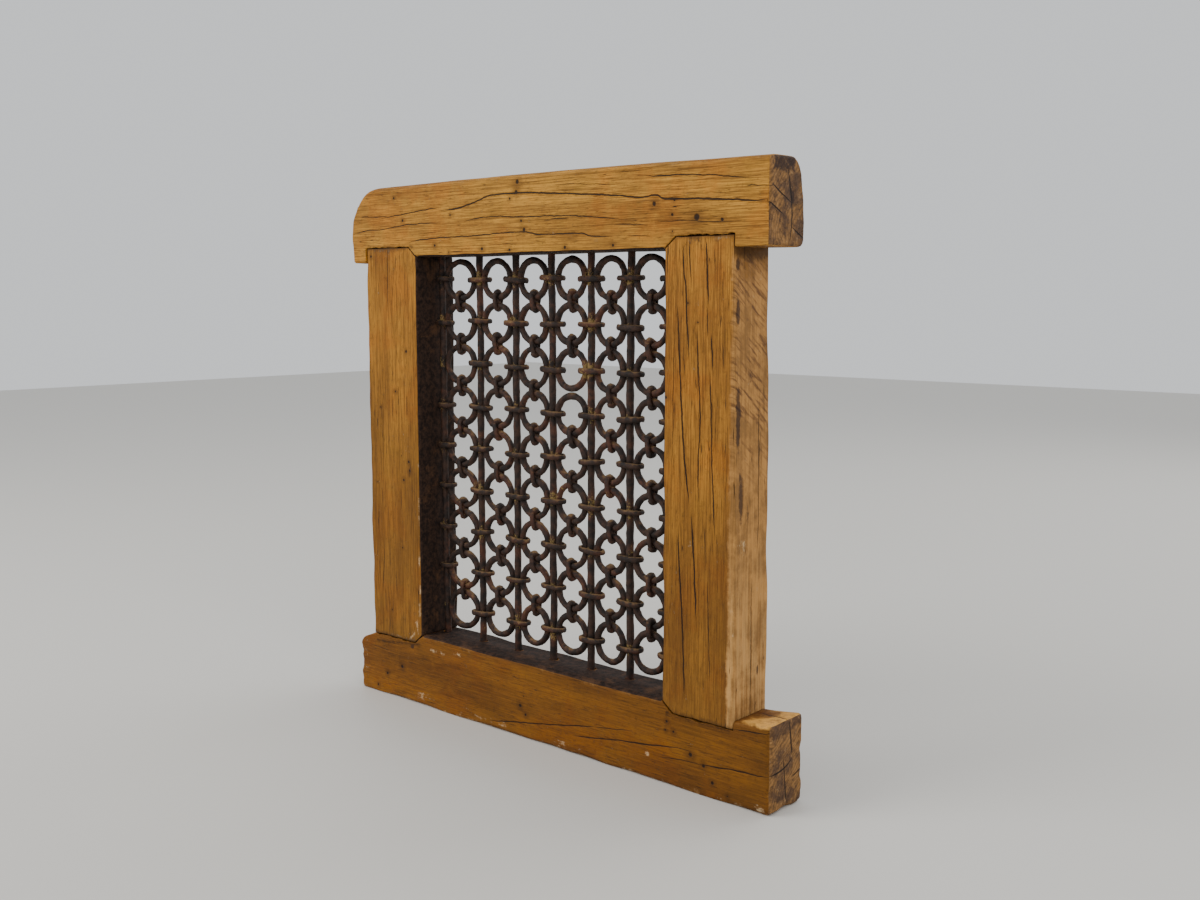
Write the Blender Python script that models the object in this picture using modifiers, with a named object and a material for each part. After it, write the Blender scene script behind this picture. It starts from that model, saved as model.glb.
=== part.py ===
"""Jali window: an old timber frame that holds a lattice of iron rings on seven iron bars.

Metres, +Z up. The front faces -Y, and the origin is the middle of the footprint on the floor.
The timbers are a sill, two stiles and a head, and each stile is let into a shallow housing in the
sill and in the head. The bars stand in round sockets, the rings hang between them in columns, and
collars and ties of the same iron hold them together.
"""
import math

import bmesh
import bpy
from mathutils import Matrix

# Iron lattice
LATTICE_WIDTH = 0.3569      # from the middle of the first bar to that of the last
COLUMN_SHARES = (65.8, 60.3, 57.6, 58.4, 56.0, 58.8)  # how the columns share it, left to right
ROW_COUNT = 9
RING_HEIGHT = 0.0496
RING_GAP = 0.0004           # air between a ring and the next one below it
RING_WIRE = 0.0075
BAR_OVER_WIRE = 0.0008      # the bars are this much thicker than the rings, so the collars grip them
BAR_SIDE_GAP = 0.0003       # air between a bar and the rings beside it
BAR_SOCKET_DEPTH = 0.0150
LATTICE_SETBACK = 0.0347    # from the front of the frame to the middle of the bars
COLLAR_HEIGHT = 0.0060
COLLAR_WALL = 0.0026        # at the two tips of a collar
COLLAR_FACE_WALL = 0.0050   # at its front and back
COLLAR_END_WALL = 0.0020    # where it goes round an outer bar on the side with no ring
COLLAR_BITE = 0.0001        # how far a collar presses into the front of its bar
TIE_WIDTH = 0.0060
TIE_DEPTH = 0.0134
TIE_COVER = 0.0048          # iron of a tie above and below the two rims that it holds
MISSING_COLLARS = {(0, 2), (0, 8)}   # bar and row, counted from the top left
MISSING_TIES = {(3, 2)}              # column, and the row above the tie

# Opening
GAP_LEFT = 0.0075           # from the left stile to the middle of the first bar
GAP_RIGHT = 0.0135
GAP_ABOVE = 0.0026          # from the head to the top rings
GAP_BELOW = 0.0098

# Sill
SILL_HEIGHT = 0.0894
SILL_INSET = 0.0015         # the sill is this much shallower than the head
SILL_HORN_LEFT = 0.0285
SILL_HORN_RIGHT = 0.0505
SILL_WORN_DROP = 0.0270     # the worn left end is this much lower than the sill's top
SILL_CORNER_CUT = 0.0090

# Stiles
STILE_LEFT_WIDTH = 0.0940
STILE_RIGHT_WIDTH = 0.0850
STILE_RIGHT_SPREAD = 0.0053 # how much wider it is at its foot than at its top
STILE_INSET = 0.0002        # the stiles are this much shallower than the head
STILE_BELLY = 0.0012        # how far the outer sides swell at mid height

# Head
HEAD_HEIGHT = 0.0870
HEAD_DEPTH = 0.0600
HEAD_HORN_LEFT = 0.0305
HEAD_HORN_RIGHT = 0.0395
HEAD_CROWN = 0.0022         # rise of the top over its length
HEAD_CORNER_LENGTH = 0.0500
HEAD_CORNER_DROP = 0.0640
HEAD_HORN_DROP = 0.0060     # how far the left horn hangs below the underside
HEAD_END_TUCK = 0.0050      # how far the left end draws in at its foot
HEAD_FLAT_TOP = 0.0390      # depth of the flat top before the back rounds over
HEAD_BACK_SPRING = 0.0236   # height above the underside where the rounding of the back starts
HEAD_BACK_FOOT = 0.0080
HEAD_BACK_TUCK = 0.0060

# Joints between the timbers
HOUSING_DEPTH = 0.0115
SHOULDER_RUN = 0.0140       # sloped inner shoulder of a housing
JOINT_GAP = 0.0003
ARRIS = 0.0028              # worn edges

# Facets
RING_SIDES = 8              # a multiple of 4, for a corner towards each neighbour
WIRE_SIDES = 4
BAR_SIDES = 6
CURVE_STEPS = 5
BELLY_STEPS = 6
OVERSHOOT = 0.0100          # how far a cutter runs past what it cuts

# Places worked out from the sizes
column_spacings = [LATTICE_WIDTH * share / sum(COLUMN_SHARES) for share in COLUMN_SHARES]
bar_diameter = RING_WIRE + BAR_OVER_WIRE
row_pitch = RING_HEIGHT + RING_GAP
bar_corner = bar_diameter / 2 / math.cos(math.pi / BAR_SIDES)
rim_offset = bar_corner + BAR_SIDE_GAP          # from a bar's middle to the rim beside it
opening_width = GAP_LEFT + LATTICE_WIDTH + GAP_RIGHT
opening_height = GAP_ABOVE + ROW_COUNT * row_pitch - RING_GAP + GAP_BELOW
reach_left = STILE_LEFT_WIDTH + max(SILL_HORN_LEFT, HEAD_HORN_LEFT)
reach_right = STILE_RIGHT_WIDTH + max(SILL_HORN_RIGHT, HEAD_HORN_RIGHT)
opening_left = (reach_left - reach_right - opening_width) / 2
opening_right = opening_left + opening_width
left_outer = opening_left - STILE_LEFT_WIDTH
right_outer = opening_right + STILE_RIGHT_WIDTH
right_foot = right_outer + STILE_RIGHT_SPREAD
sill_depth = HEAD_DEPTH - SILL_INSET
stile_depth = HEAD_DEPTH - STILE_INSET
front = -HEAD_DEPTH / 2
lattice_y = front + LATTICE_SETBACK
sill_floor = SILL_HEIGHT - HOUSING_DEPTH
underside = SILL_HEIGHT + opening_height
head_floor = underside + HOUSING_DEPTH
head_top = underside + HEAD_HEIGHT
bar_x = [opening_left + GAP_LEFT + sum(column_spacings[:i]) for i in range(len(column_spacings) + 1)]
row_z = [underside - GAP_ABOVE - RING_HEIGHT / 2 - row * row_pitch for row in range(ROW_COUNT)]


def clear_scene():
    for obj in list(bpy.data.objects):
        bpy.data.objects.remove(obj, do_unlink=True)


def new_collection(name):
    collection = bpy.data.collections.new(name)
    bpy.context.scene.collection.children.link(collection)
    return collection


def make_material(name, color, roughness, metallic):
    material = bpy.data.materials.new(name)
    material.use_nodes = True
    shader = material.node_tree.nodes["Principled BSDF"]
    shader.inputs["Base Color"].default_value = (*color, 1.0)
    shader.inputs["Roughness"].default_value = roughness
    shader.inputs["Metallic"].default_value = metallic
    return material


def add_object(name, mesh, collection):
    obj = bpy.data.objects.new(name, mesh)
    collection.objects.link(obj)
    if collection.name == "cutters":
        obj.hide_render = True
        obj.display_type = "WIRE"
    return obj


def take_primitive(name, collection):
    """Takes the mesh of the primitive just added into an object of its own in the collection."""
    primitive = bpy.context.object
    mesh = primitive.data
    bpy.data.objects.remove(primitive, do_unlink=True)
    mesh.name = name
    return add_object(name, mesh, collection)


def flat_outline(name, outlines, thickness, collection):
    """A flat outline, with any further outlines as its holes, given a thickness about its plane."""
    data = bpy.data.curves.new(name, "CURVE")
    data.dimensions = "2D"
    data.fill_mode = "BOTH"
    data.extrude = thickness / 2
    for outline in outlines:
        spline = data.splines.new("POLY")
        spline.points.add(len(outline) - 1)
        for point, (across, up) in zip(spline.points, outline):
            point.co = (across, up, 0, 1)
        spline.use_cyclic_u = True
    curve = bpy.data.objects.new(name, data)
    bpy.context.scene.collection.objects.link(curve)
    graph = bpy.context.evaluated_depsgraph_get()
    mesh = bpy.data.meshes.new_from_object(curve.evaluated_get(graph))
    bpy.data.objects.remove(curve, do_unlink=True)
    bm = bmesh.new()
    bm.from_mesh(mesh)
    bmesh.ops.remove_doubles(bm, verts=bm.verts, dist=0.00001)
    bmesh.ops.recalc_face_normals(bm, faces=bm.faces)
    bm.to_mesh(mesh)
    bm.free()
    return add_object(name, mesh, collection)


def front_board(name, outline, y_front, depth, collection):
    """A board whose outline is drawn in X and Z, and which runs back from its front face."""
    board = flat_outline(name, [outline], depth, collection)
    board.rotation_euler = (math.pi / 2, 0, 0)
    board.location = (0, y_front + depth / 2, 0)
    return board


def side_board(name, outline, x_middle, length, collection):
    """A board whose outline is drawn in Y and Z, and which runs along X."""
    board = flat_outline(name, [outline], length, collection)
    board.rotation_euler = (math.pi / 2, 0, math.pi / 2)
    board.location = (x_middle, 0, 0)
    return board


def join_copies(name, objects, collection):
    """One object that holds several meshes where they lie. The objects themselves are removed."""
    bpy.context.view_layer.update()
    bm = bmesh.new()
    for obj in objects:
        start = len(bm.verts)
        bm.from_mesh(obj.data)
        bm.verts.ensure_lookup_table()
        bmesh.ops.transform(bm, matrix=obj.matrix_world, verts=bm.verts[start:])
        bpy.data.objects.remove(obj, do_unlink=True)
    mesh = bpy.data.meshes.new(name)
    bm.to_mesh(mesh)
    bm.free()
    return add_object(name, mesh, collection)


def boolean(obj, cutter, operation):
    modifier = obj.modifiers.new(operation.lower(), "BOOLEAN")
    modifier.operation = operation
    modifier.solver = "EXACT"
    modifier.object = cutter


def wear_arrises(obj):
    bevel = obj.modifiers.new("worn arrises", "BEVEL")
    bevel.width = ARRIS
    bevel.segments = 1
    bevel.limit_method = "ANGLE"
    bevel.angle_limit = math.radians(60)


def bellied_side(x_low, x_high, z_low, z_high, swell):
    """Points up an upright side that swells along X by swell at its middle."""
    points = []
    for step in range(BELLY_STEPS + 1):
        share = step / BELLY_STEPS
        x = x_low + (x_high - x_low) * share + swell * math.sin(math.pi * share)
        points.append((x, z_low + (z_high - z_low) * share))
    return points


def cut_housings(timber, shoulder, floor, right_side, collection):
    """Cuts the two housings that take the stile ends, with a joint gap all round each end.

    shoulder is the height of the timber's face beside the opening, floor that of the housing, and
    right_side where the right stile's outer side meets it.
    """
    away = 1 if floor > shoulder else -1
    mouth = shoulder - away * (OVERSHOOT + HEAD_HORN_DROP)
    slope_gap = away * JOINT_GAP * math.hypot(SHOULDER_RUN, HOUSING_DEPTH) / SHOULDER_RUN
    length = 2 * OVERSHOOT - 2 * front
    for side, inner, outer in ((-1, opening_left, left_outer), (1, opening_right, right_side)):
        outline = [
            (inner - side * JOINT_GAP, mouth),
            (inner - side * JOINT_GAP, shoulder + slope_gap),
            (inner + side * SHOULDER_RUN, floor + slope_gap),
            (outer + side * JOINT_GAP, floor + slope_gap),
            (outer + side * JOINT_GAP, mouth),
        ]
        cutter = front_board(timber.name + "_housing", outline, front - OVERSHOOT, length, collection)
        boolean(timber, cutter, "DIFFERENCE")


def bar_prism(name, x, z_low, z_high, across_flats, collection):
    """An upright faceted rod, with flats to the front and back for the collars to bear on."""
    radius = across_flats / 2 / math.cos(math.pi / BAR_SIDES)
    bpy.ops.mesh.primitive_cylinder_add(vertices=BAR_SIDES, radius=radius, depth=z_high - z_low)
    rod = take_primitive(name, collection)
    rod.rotation_euler = (0, 0, math.pi / BAR_SIDES)
    rod.location = (x, lattice_y, (z_low + z_high) / 2)
    return rod


def cut_sockets(timber, z_low, z_high, collection):
    across = bar_diameter + 2 * JOINT_GAP
    sockets = [bar_prism("socket", x, z_low, z_high, across, collection) for x in bar_x]
    boolean(timber, join_copies(timber.name + "_sockets", sockets, collection), "DIFFERENCE")


def make_sill(parts, cutters):
    """Bottom timber. Its left end is worn down to the floor of the stile's housing."""
    left = left_outer - SILL_HORN_LEFT
    right = right_outer + SILL_HORN_RIGHT
    outline = [
        (left + SILL_CORNER_CUT, 0),
        (right - SILL_CORNER_CUT / 2, 0),
        (right, SILL_CORNER_CUT / 2),
        (right, SILL_HEIGHT),
        (opening_left, SILL_HEIGHT),
        (left_outer, sill_floor),
        (left, SILL_HEIGHT - SILL_WORN_DROP),
        (left, SILL_CORNER_CUT / 2),
    ]
    sill = front_board("sill", outline, front, sill_depth, parts)
    wear_arrises(sill)
    cut_housings(sill, SILL_HEIGHT, sill_floor, right_foot, cutters)
    cut_sockets(sill, SILL_HEIGHT - BAR_SOCKET_DEPTH, SILL_HEIGHT + OVERSHOOT, cutters)
    return sill


def head_outline(left, right):
    """Front view of the head: a crowned top, a big round corner at the left and a tucked left end."""
    shoulder = left + HEAD_CORNER_LENGTH
    spring = head_top - HEAD_CORNER_DROP
    foot = underside - HEAD_HORN_DROP
    points = [(left + HEAD_END_TUCK, foot)]
    for step in range(CURVE_STEPS + 1):
        turn = math.pi / 2 * step / CURVE_STEPS
        rise = (HEAD_CORNER_DROP - HEAD_CROWN) * math.sin(turn)
        points.append((shoulder - HEAD_CORNER_LENGTH * math.cos(turn), spring + rise))
    for step in range(1, CURVE_STEPS + 1):
        turn = math.pi / 2 * step / CURVE_STEPS
        x = shoulder + (right - shoulder) * step / CURVE_STEPS
        points.append((x, head_top - HEAD_CROWN + HEAD_CROWN * math.sin(turn)))
    return points + [(right, underside), (opening_left, underside), (left_outer, foot)]


def head_section():
    """End view of the head: square at the front, and rounded over at the back like the log it was."""
    back = front + HEAD_DEPTH
    flat = front + HEAD_FLAT_TOP
    spring = underside + HEAD_BACK_SPRING
    before = front - OVERSHOOT
    below = underside - HEAD_HORN_DROP - OVERSHOOT
    above = head_top + OVERSHOOT
    points = [(before, below), (before, above), (flat, above)]
    for step in range(CURVE_STEPS + 1):
        turn = math.pi / 2 * step / CURVE_STEPS
        points.append((flat + (back - flat) * math.sin(turn), spring + (head_top - spring) * math.cos(turn)))
    foot = back - HEAD_BACK_TUCK
    return points + [(back, underside + HEAD_BACK_FOOT), (foot, underside), (foot, below)]


def make_head(parts, cutters):
    """Top timber, with its housings and sockets in the underside."""
    left = left_outer - HEAD_HORN_LEFT
    right = right_outer + HEAD_HORN_RIGHT
    head = front_board("head", head_outline(left, right), front, HEAD_DEPTH, parts)
    length = right - left + 2 * OVERSHOOT
    boolean(head, side_board("head_log", head_section(), (left + right) / 2, length, cutters), "INTERSECT")
    wear_arrises(head)
    cut_housings(head, underside, head_floor, right_outer, cutters)
    cut_sockets(head, underside - OVERSHOOT, underside + BAR_SOCKET_DEPTH, cutters)
    return head


def make_stile(name, inner, outer, outer_foot, parts):
    """Upright. Its ends fill the housings, and its inner corners are cut to their sloped shoulders."""
    side = 1 if outer > inner else -1
    outline = [
        (inner, SILL_HEIGHT),
        (inner + side * SHOULDER_RUN, sill_floor),
        *bellied_side(outer_foot, outer, sill_floor, head_floor, side * STILE_BELLY),
        (inner + side * SHOULDER_RUN, head_floor),
        (inner, underside),
    ]
    stile = front_board(name, outline, front, stile_depth, parts)
    wear_arrises(stile)
    return stile


def collar_reach(column):
    """From a bar's middle to the inside and to the tip of its collar, on the side of a column."""
    if column not in range(len(column_spacings)):
        inside = bar_corner + JOINT_GAP
        return inside, inside + COLLAR_END_WALL
    rim_bend = COLLAR_HEIGHT / 2 * math.tan(math.pi / RING_SIDES)
    rim_reach = (RING_WIRE + rim_bend) * ring_width(column) / RING_HEIGHT
    inside = rim_offset + rim_reach + JOINT_GAP
    return inside, inside + COLLAR_WALL


def collar_outlines(bar):
    """Plan of a collar, which goes round its bar and the ring rims beside it, and of its eye."""
    front_inside = COLLAR_BITE - bar_diameter / 2
    back_inside = bar_diameter / 2 + JOINT_GAP
    front_outside = front_inside - COLLAR_FACE_WALL
    back_outside = back_inside + COLLAR_FACE_WALL
    low, tip_low = (-reach for reach in collar_reach(bar - 1))
    high, tip_high = collar_reach(bar)
    rim = [
        (tip_low, 0),
        (low, front_outside),
        (high, front_outside),
        (tip_high, 0),
        (high, back_outside),
        (low, back_outside),
    ]
    return [rim, [(low, front_inside), (low, back_inside), (high, back_inside), (high, front_inside)]]


def make_bar(number, parts, cutters):
    """One bar, with the collars that bind the ring rims to it."""
    low = SILL_HEIGHT - BAR_SOCKET_DEPTH + JOINT_GAP
    high = underside + BAR_SOCKET_DEPTH - JOINT_GAP
    bar = bar_prism(f"bar_{number + 1}", bar_x[number], low, high, bar_diameter, parts)
    outlines = collar_outlines(number)
    collars = []
    for row in range(ROW_COUNT):
        if (number, row) not in MISSING_COLLARS:
            collar = flat_outline("collar", outlines, COLLAR_HEIGHT, cutters)
            collar.location = (bar_x[number], lattice_y, row_z[row])
            collars.append(collar)
    boolean(bar, join_copies(bar.name + "_collars", collars, cutters), "UNION")
    return bar


def ring_width(column):
    return column_spacings[column] - 2 * rim_offset


def make_ring(x, z, width, collection):
    """One ring, with corners beside both bars, at its top and at its foot."""
    radius = (RING_HEIGHT - RING_WIRE) / 2
    bpy.ops.mesh.primitive_torus_add(
        major_segments=RING_SIDES, minor_segments=WIRE_SIDES, major_radius=radius, minor_radius=RING_WIRE / 2
    )
    ring = take_primitive("ring", collection)
    ring.data.transform(Matrix.Diagonal((width / RING_HEIGHT, 1, 1, 1)))
    ring.rotation_euler = (math.pi / 2, 0, 0)
    ring.location = (x, lattice_y, z)
    return ring


def make_tie(x, z, collection):
    """One tie: a clip of iron bent round the foot of one ring and the top of the next."""
    height = 2 * (RING_WIRE + TIE_COVER) + RING_GAP
    bpy.ops.mesh.primitive_cube_add(size=1)
    tie = take_primitive("tie", collection)
    tie.data.transform(Matrix.Diagonal((TIE_WIDTH, TIE_DEPTH, height, 1)))
    tie.location = (x, lattice_y, z)
    return tie


def chain_runs(column):
    """The rows of a column, split wherever the tie between two rings is missing."""
    runs = [[0]]
    for row in range(1, ROW_COUNT):
        if (column, row - 1) in MISSING_TIES:
            runs.append([])
        runs[-1].append(row)
    return runs


def make_chains(column, parts, cutters):
    """The rings of one column, tied one below the other into a chain for each unbroken run."""
    x = (bar_x[column] + bar_x[column + 1]) / 2
    width = ring_width(column)
    runs = chain_runs(column)
    chains = []
    for run in runs:
        name = f"ring_chain_{column + 1}"
        if len(runs) > 1:
            name += "_upper" if run is runs[0] else "_lower"
        chain = join_copies(name, [make_ring(x, row_z[row], width, cutters) for row in run], parts)
        ties = [make_tie(x, row_z[row] - row_pitch / 2, cutters) for row in run[:-1]]
        boolean(chain, join_copies(name + "_ties", ties, cutters), "UNION")
        chains.append(chain)
    return chains


def main():
    clear_scene()
    parts = new_collection("jali_window")
    cutters = new_collection("cutters")
    timber = make_material("old timber", (0.40, 0.19, 0.06), 0.65, 0.0)
    iron = make_material("rusty iron", (0.045, 0.026, 0.018), 0.8, 0.3)
    timbers = [
        make_sill(parts, cutters),
        make_stile("stile_left", opening_left, left_outer, left_outer, parts),
        make_stile("stile_right", opening_right, right_outer, right_foot, parts),
        make_head(parts, cutters),
    ]
    irons = [make_bar(number, parts, cutters) for number in range(len(bar_x))]
    for column in range(len(column_spacings)):
        irons += make_chains(column, parts, cutters)
    for obj in timbers:
        obj.data.materials.append(timber)
    for obj in irons:
        obj.data.materials.append(iron)


main()
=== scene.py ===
"""Jali window: an old timber frame round a lattice of wrought iron rings, bars, collars and ties."""
import math

import bmesh
import bpy
import numpy as np
from mathutils import Matrix, Vector


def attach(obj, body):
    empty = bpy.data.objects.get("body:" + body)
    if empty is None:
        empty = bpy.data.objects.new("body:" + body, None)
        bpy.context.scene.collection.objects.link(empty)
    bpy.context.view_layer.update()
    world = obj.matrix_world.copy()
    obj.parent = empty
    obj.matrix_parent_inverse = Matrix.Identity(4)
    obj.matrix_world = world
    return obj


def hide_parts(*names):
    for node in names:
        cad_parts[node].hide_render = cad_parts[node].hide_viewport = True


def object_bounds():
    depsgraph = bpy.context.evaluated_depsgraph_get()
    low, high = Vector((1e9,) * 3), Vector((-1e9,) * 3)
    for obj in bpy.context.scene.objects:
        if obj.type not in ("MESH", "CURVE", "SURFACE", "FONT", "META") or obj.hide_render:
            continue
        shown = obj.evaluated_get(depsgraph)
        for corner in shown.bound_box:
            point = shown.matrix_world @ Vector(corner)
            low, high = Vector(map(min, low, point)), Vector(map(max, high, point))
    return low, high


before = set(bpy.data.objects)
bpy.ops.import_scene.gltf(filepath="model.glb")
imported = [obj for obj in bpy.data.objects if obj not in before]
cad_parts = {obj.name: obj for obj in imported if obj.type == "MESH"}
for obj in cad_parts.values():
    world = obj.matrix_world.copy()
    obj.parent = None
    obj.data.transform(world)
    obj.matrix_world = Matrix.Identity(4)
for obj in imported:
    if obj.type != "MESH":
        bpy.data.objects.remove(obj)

cad_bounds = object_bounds()
MM = 0.001

# The window stands on a plain pale floor in soft daylight that comes mostly from the left and the
# front, and it is seen from its front right, from just above the middle of its height.
camera = bpy.data.objects.new("camera", bpy.data.cameras.new("camera"))
bpy.context.scene.collection.objects.link(camera)
camera.data.sensor_width = 36
camera.data.lens = 37.906
camera.location = (0.97765, -1.0217, 0.5038)
camera.rotation_euler = (math.radians(90 - 6.90), 0, math.radians(41.56))
bpy.context.scene.camera = camera


WINDOW_MIDDLE = (0, 0, 0.3)


def hang_light(name, place, size, power, tint):
    """A square light that shines at the middle of the window."""
    light = bpy.data.objects.new(name, bpy.data.lights.new(name, "AREA"))
    bpy.context.scene.collection.objects.link(light)
    light.data.shape = "SQUARE"
    light.data.size = size
    light.data.energy = power
    light.data.color = tint
    light.location = place
    light.rotation_euler = (Vector(place) - Vector(WINDOW_MIDDLE)).to_track_quat("Z", "Y").to_euler()


hang_light("window_light", (-1.6, -2.2, 2.2), 1.8, 62, (1.0, 0.98, 0.95))
hang_light("room_light", (2.6, -1.4, 1.8), 2.2, 30, (1.0, 0.98, 0.96))
hang_light("back_light", (0.8, 2.6, 2.0), 2.2, 26, (1.0, 0.99, 0.98))

sky = bpy.data.worlds.new("sky")
bpy.context.scene.world = sky
sky.use_nodes = True
sky.node_tree.nodes["Background"].inputs["Color"].default_value = (0.80, 0.82, 0.84, 1)
sky.node_tree.nodes["Background"].inputs["Strength"].default_value = 1.0

bm = bmesh.new()
bmesh.ops.create_grid(bm, x_segments=1, y_segments=1, size=6)
floor = bpy.data.objects.new("floor", bpy.data.meshes.new("floor"))
bm.to_mesh(floor.data)
bm.free()
bpy.context.scene.collection.objects.link(floor)
floor_paint = bpy.data.materials.new("floor_paint")
floor_paint.use_nodes = True
floor_paint.node_tree.nodes["Principled BSDF"].inputs["Base Color"].default_value = (0.62, 0.60, 0.56, 1)
floor_paint.node_tree.nodes["Principled BSDF"].inputs["Roughness"].default_value = 0.6
floor.data.materials.append(floor_paint)


# The sill, the bottom timber: an adzed baulk of old honey-coloured hardwood with a horn at each end.
# Its left end is worn down, its grain is checked, and its top keeps a dark old finish inside the
# opening. The shader sums, the way timbers are hewn and the wood's finish begin here.
class Signal:
    """A socket of a material that takes part in sums."""

    def __init__(self, finish, socket):
        self.finish = finish
        self.socket = socket

    def math(self, operation, *values):
        return self.finish.node("Math", {"operation": operation}, dict(enumerate(values)))

    def __add__(self, other):
        return self.math("ADD", self, other)

    def __sub__(self, other):
        return self.math("SUBTRACT", self, other)

    def __mul__(self, other):
        return self.math("MULTIPLY", self, other)

    def __truediv__(self, other):
        return self.math("DIVIDE", self, other)

    def __pow__(self, other):
        return self.math("POWER", self, other)

    __radd__ = __add__


class Finish:
    """A material that is put together node by node."""

    def __init__(self, name):
        self.material = bpy.data.materials.new(name)
        self.material.use_nodes = True
        self.tree = self.material.node_tree
        self.shader = self.tree.nodes["Principled BSDF"]

    def plug(self, value, socket):
        if isinstance(value, Signal):
            self.tree.links.new(value.socket, socket)
        elif isinstance(value, tuple) and len(value) == 3 and socket.type == "RGBA":
            socket.default_value = (*value, 1)
        else:
            socket.default_value = value

    def node(self, kind, settings=None, inputs=None, output=0):
        made = self.tree.nodes.new("ShaderNode" + kind)
        for key, value in (settings or {}).items():
            setattr(made, key, value)
        for key, value in (inputs or {}).items():
            self.plug(value, made.inputs[key])
        return Signal(self, made.outputs[output])

    def cover(self, **sockets):
        for name, value in sockets.items():
            self.plug(value, self.shader.inputs[name.replace("_", " ")])

    def mix(self, share, first, second, blend="MIX"):
        settings = {"data_type": "RGBA", "blend_type": blend, "clamp_factor": True}
        return self.node("Mix", settings, {0: share, 6: first, 7: second}, 2)

    def fade(self, value, low, high):
        """0 below low, 1 above high, and a smooth change between."""
        settings = {"interpolation_type": "SMOOTHSTEP"}
        return self.node("MapRange", settings, {"Value": value, "From Min": low, "From Max": high})

    def mark(self, name):
        return self.node("Attribute", {"attribute_name": name}, output=2)

    def noise(self, place, scale, detail, roughness):
        inputs = {"Vector": place, "Scale": scale, "Detail": detail, "Roughness": roughness}
        return self.node("TexNoise", None, inputs)

    def path(self, along, points):
        """The level of a path at each place along it. Its points are (along, level) in millimetres."""
        start, end = points[0][0], points[-1][0]
        low = min(level for _, level in points)
        span = max(max(level for _, level in points) - low, 0.001)
        made = self.node("FloatCurve", None, {"Value": (along - start * MM) / ((end - start) * MM)})
        curve = made.socket.node.mapping.curves[0]
        shares = [((place - start) / (end - start), (level - low) / span) for place, level in points]
        curve.points[0].location, curve.points[1].location = shares[0], shares[-1]
        for share in shares[1:-1]:
            curve.points.new(*share)
        made.socket.node.mapping.update()
        return made * (span * MM) + low * MM

    def bump(self, height, distance, strength):
        return self.node("Bump", None, {"Height": height, "Distance": distance, "Strength": strength})


def paint(red, green, blue):
    """A colour as seen on a screen, 0 to 255, turned to light values."""
    return tuple(((c / 255 + 0.055) / 1.055) ** 2.4 if c > 10 else c / 3295 for c in (red, green, blue))


def times(color, share):
    return tuple(channel * share for channel in color)


def ripple(points, sizes, seed, waves=12):
    """Smooth unevenness of about -1 to 1, whose swells are as long as sizes along each axis."""
    dice = np.random.default_rng(seed)
    total = np.zeros(len(points))
    for _ in range(waves):
        pace = dice.normal(size=len(sizes)) * 4.2 / np.array(sizes)
        total += np.sin(points @ pace + dice.uniform(0, 2 * math.pi))
    return total / math.sqrt(waves) * 0.8


def nearness(distance, reach):
    """1 at no distance, falling to 0 at reach."""
    return np.clip(1 - distance / reach, 0, 1)


def between(values, start, end, soft):
    """1 from start to end, falling to 0 at both over a soft edge."""
    return np.clip(np.minimum(values - start, end - values) / soft, 0, 1)


def face_outwards(mesh):
    bm = bmesh.new()
    bm.from_mesh(mesh)
    bmesh.ops.recalc_face_normals(bm, faces=bm.faces)
    bm.to_mesh(mesh)
    bm.free()


def make_piece(name, mesh, marks, material):
    """Makes an object of a mesh, with its marks as attributes and its material."""
    for mark, values in marks.items():
        layer = mesh.attributes.new(mark, "FLOAT", "POINT")
        layer.data.foreach_set("value", values.astype(np.float32))
    mesh.shade_smooth()
    mesh.materials.append(material)
    piece = bpy.data.objects.new(name, mesh)
    bpy.context.scene.collection.objects.link(piece)
    return piece


def set_in_window(piece, slot, *nodes):
    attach(piece, "root")
    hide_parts(*nodes)


def round_corner(inset_a, inset_b, radius_a, radius_b):
    """Moves points beside a square corner onto a round one. The insets run in from its two faces."""
    a = nearness(inset_a, radius_a)
    b = nearness(inset_b, radius_b)
    reach = np.maximum(a, b)
    near = (a > 0) & (b > 0)
    safe = np.where(reach > 0, reach, 1)
    turn = np.where(a >= b, math.pi / 4 * b / safe, math.pi / 2 - math.pi / 4 * a / safe)
    new_a = np.where(near, radius_a * (1 - reach * np.cos(turn)), inset_a)
    new_b = np.where(near, radius_b * (1 - reach * np.sin(turn)), inset_b)
    return new_a, new_b


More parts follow.
